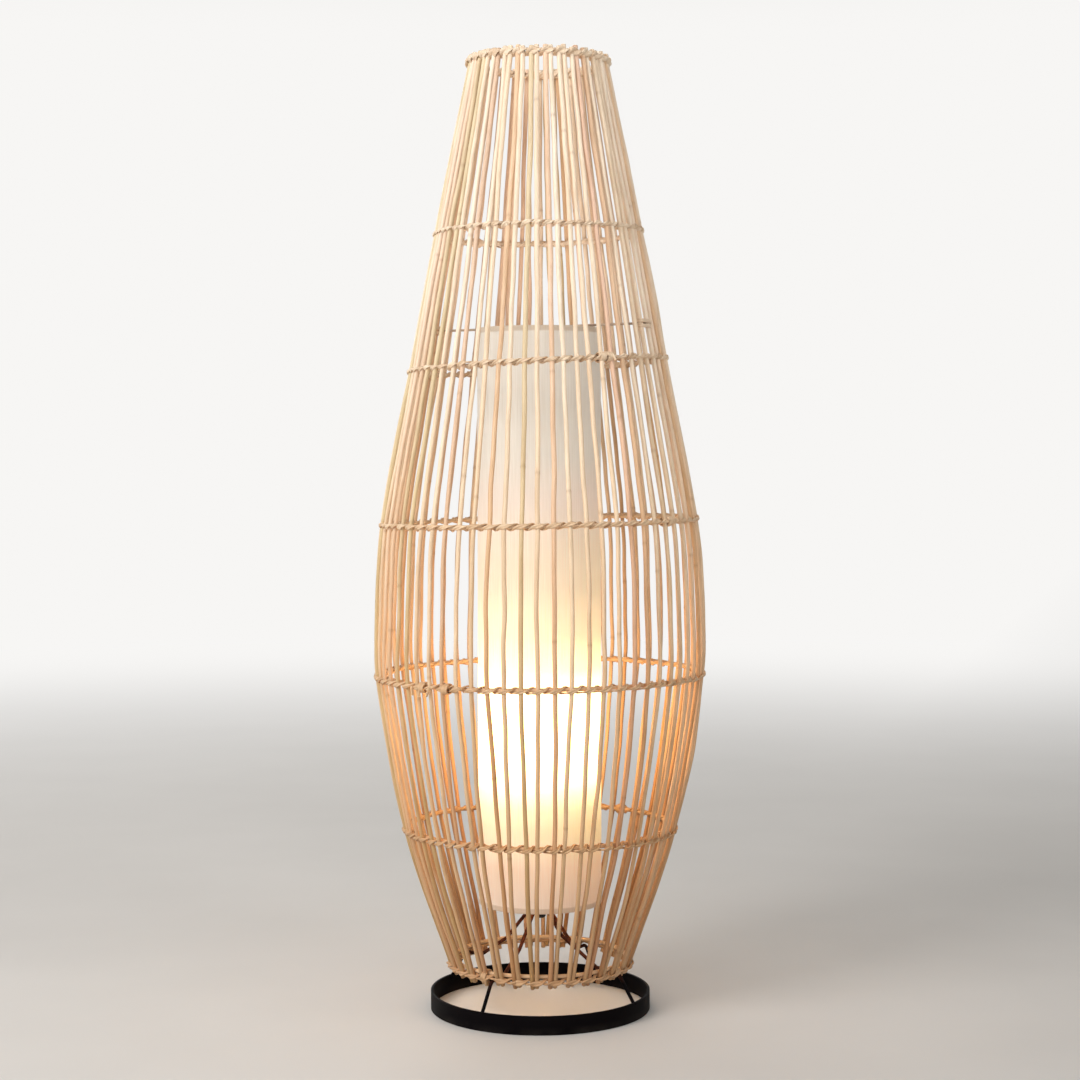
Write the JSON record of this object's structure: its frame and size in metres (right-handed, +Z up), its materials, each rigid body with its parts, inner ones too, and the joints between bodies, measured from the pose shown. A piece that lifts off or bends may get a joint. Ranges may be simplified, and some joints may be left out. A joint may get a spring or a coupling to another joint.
{
  "type": "floor lamp",
  "caption": "Tall rattan floor lamp: a bulging openwork cage of bent sticks over a lit fabric cylinder, on a black steel hoop with bent wire legs.",
  "frame": {"origin": "on the floor, on the lamp's axis", "axes": "+Z up along the lamp's axis, -Y towards the front, +X to the right seen from the front"},
  "size_m": [0.4238, 0.4238, 1.2003],
  "materials": {
    "rattan_stick": "peeled, satin, pale straw with darker nodes",
    "rattan_rod": "peeled, satin, cream",
    "rattan_peel": "split peel, twisted and wrapped, satin",
    "black_steel": "black powder coat, satin",
    "dark_wire": "dark grey-brown coat, satin",
    "zinc_steel": "zinc plated",
    "gland_plastic": "black, matt",
    "shade_fabric": "laminated cream fabric with an upright grain, lit from inside",
    "holder_plastic": "off-white thermoplastic",
    "holder_ceramic": "unglazed white",
    "holder_brass": "plain pressed brass",
    "bulb_cap_metal": "plain rolled aluminium",
    "bulb_insulator": "black glass",
    "bulb_glass": "lightly frosted, lit",
    "bulb_filament": "glowing wire"
  },
  "bodies": {
    "stand": {"base_hoop": "black_steel", "leg_front_right": "black_steel", "leg_back_right": "black_steel", "leg_back_left": "black_steel", "leg_front_left": "black_steel", "hub_collar": "black_steel", "stem": "zinc_steel", "lock_nuts": "zinc_steel", "cord_gland": "gland_plastic", "shade_spider": "zinc_steel", "shade_bottom_ring": "zinc_steel", "shade_top_ring": "zinc_steel", "shade_fabric": "shade_fabric", "holder_cap": "holder_plastic", "holder_shell": "holder_plastic", "holder_insert": "holder_ceramic", "holder_screw_shell": "holder_brass", "holder_contact": "holder_brass"},
    "cage": {"sticks_front": "rattan_stick", "sticks_front_right": "rattan_stick", "sticks_right": "rattan_stick", "sticks_back_right": "rattan_stick", "sticks_back": "rattan_stick", "sticks_back_left": "rattan_stick", "sticks_left": "rattan_stick", "sticks_front_left": "rattan_stick", "hoop_1": "rattan_rod", "hoop_2": "rattan_rod", "hoop_3": "rattan_rod", "hoop_4": "rattan_rod", "hoop_5": "rattan_rod", "hoop_6": "rattan_rod", "hoop_7": "rattan_rod", "lashing_1": "rattan_peel", "lashing_2": "rattan_peel", "lashing_3": "rattan_peel", "lashing_4": "rattan_peel", "lashing_5": "rattan_peel", "lashing_6": "rattan_peel", "lashing_7": "rattan_peel", "steady_bar": "dark_wire", "bar_ties": "rattan_peel"},
    "bulb_foot": {"bulb_contact": "bulb_cap_metal"},
    "bulb": {"bulb_insulator": "bulb_insulator", "bulb_cap": "bulb_cap_metal", "bulb_glass": "bulb_glass", "bulb_mount": "bulb_glass", "bulb_filament": "bulb_filament"}
  },
  "joints": [
    {"name": "cage_lift", "type": "slide", "parent": "stand", "child": "cage", "axis": [0, 0, 1], "range_m": [0, 0.9]},
    {"name": "bulb_rise", "type": "slide", "parent": "stand", "child": "bulb_foot", "axis": [0, 0, 1], "range_m": [0, 0.0128]},
    {"name": "bulb_turn", "type": "hinge", "parent": "bulb_foot", "child": "bulb", "pos_m": [0, 0, 0.25], "axis": [0, 0, 1], "range_deg": [0, 1260]}
  ],
  "couplings": [
    {"joint": "bulb_rise", "follows": "bulb_turn", "m_per_rad": 0.0005776}
  ]
}
